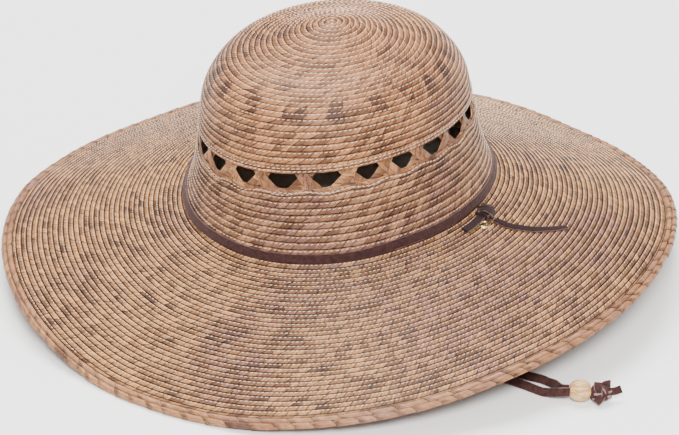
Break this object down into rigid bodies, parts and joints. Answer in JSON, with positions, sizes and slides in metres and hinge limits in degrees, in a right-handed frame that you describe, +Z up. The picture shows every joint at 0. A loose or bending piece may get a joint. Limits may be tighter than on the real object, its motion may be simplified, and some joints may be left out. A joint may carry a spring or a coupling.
{
  "type": "straw ranch hat",
  "caption": "Wide-brimmed hat of sewn palm-straw braid with a rounded crown, a cut-through vent row, a lace band and a beaded lace chin strap.",
  "frame": {"origin": "on the surface that the hat rests on, under the middle of the brim's box", "axes": "+Z up through the crown, -Y the front of the hat, +X its right side"},
  "size_m": [0.4163, 0.4245, 0.1492],
  "materials": {
    "palm_straw": "dried palm braid in sewn rows, matt with a soft sheen",
    "palm_strip": "folded palm strip, smooth and matt",
    "palm_binding": "wide folded palm strip, smooth with a soft sheen",
    "suede_lace": "dark brown suede",
    "bead_wood": "pale turned wood, unvarnished",
    "brass": "worn brass"
  },
  "bodies": {
    "root": {"crown_dome": "palm_straw", "vent_row": "palm_strip", "crown_wall": "palm_straw", "brim": "palm_straw", "brim_edge": "palm_binding", "hat_band": "suede_lace", "band_knot": "suede_lace", "stop_knot": "suede_lace", "band_tail_long": "suede_lace", "band_tail_short": "suede_lace", "eyelet_right": "brass", "eyelet_left": "brass", "chin_lace_right": "suede_lace", "chin_lace_left": "suede_lace", "cord_bead": "bead_wood", "cord_knot": "suede_lace"}
  },
  "joints": []
}
